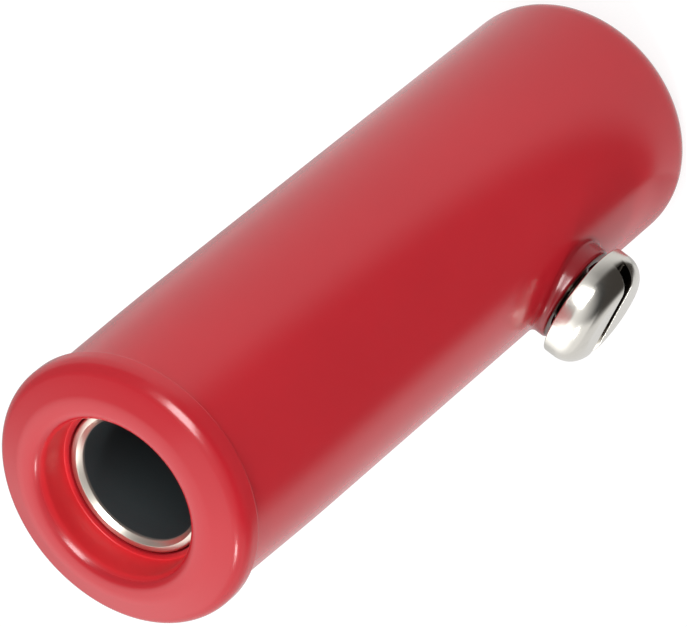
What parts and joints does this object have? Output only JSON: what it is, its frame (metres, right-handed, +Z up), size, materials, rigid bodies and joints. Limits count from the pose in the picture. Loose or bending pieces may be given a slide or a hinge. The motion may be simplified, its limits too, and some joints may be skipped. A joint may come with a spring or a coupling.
{
  "type": "in-line banana socket",
  "caption": "In-line 4 mm banana socket: a round moulded sleeve over a turned metal contact, with a slotted screw at the side that clamps the wire.",
  "frame": {"origin": "centre of the contact's mouth, on the bore axis, where the plug enters the metal", "axes": "+Z up along the bore axis, out of the mouth, with the socket standing on its rear end; +X out along the clamp screw"},
  "size_m": [0.0103, 0.0088, 0.0266],
  "materials": {
    "red_plastic": "glossy red moulded plastic",
    "plated_brass": "brass, turned and nickel plated",
    "plated_steel": "steel, nickel plated and bright"
  },
  "bodies": {
    "socket": {"insulating_sleeve": "red_plastic", "contact_socket": "plated_brass"},
    "screw": {"clamp_screw": "plated_steel"}
  },
  "joints": [
    {"name": "clamp_screw_turn", "type": "hinge", "parent": "socket", "child": "screw", "pos_m": [0, 0, -0.018], "axis": [1, 0, 0], "range_deg": [-216, 810]}
  ]
}
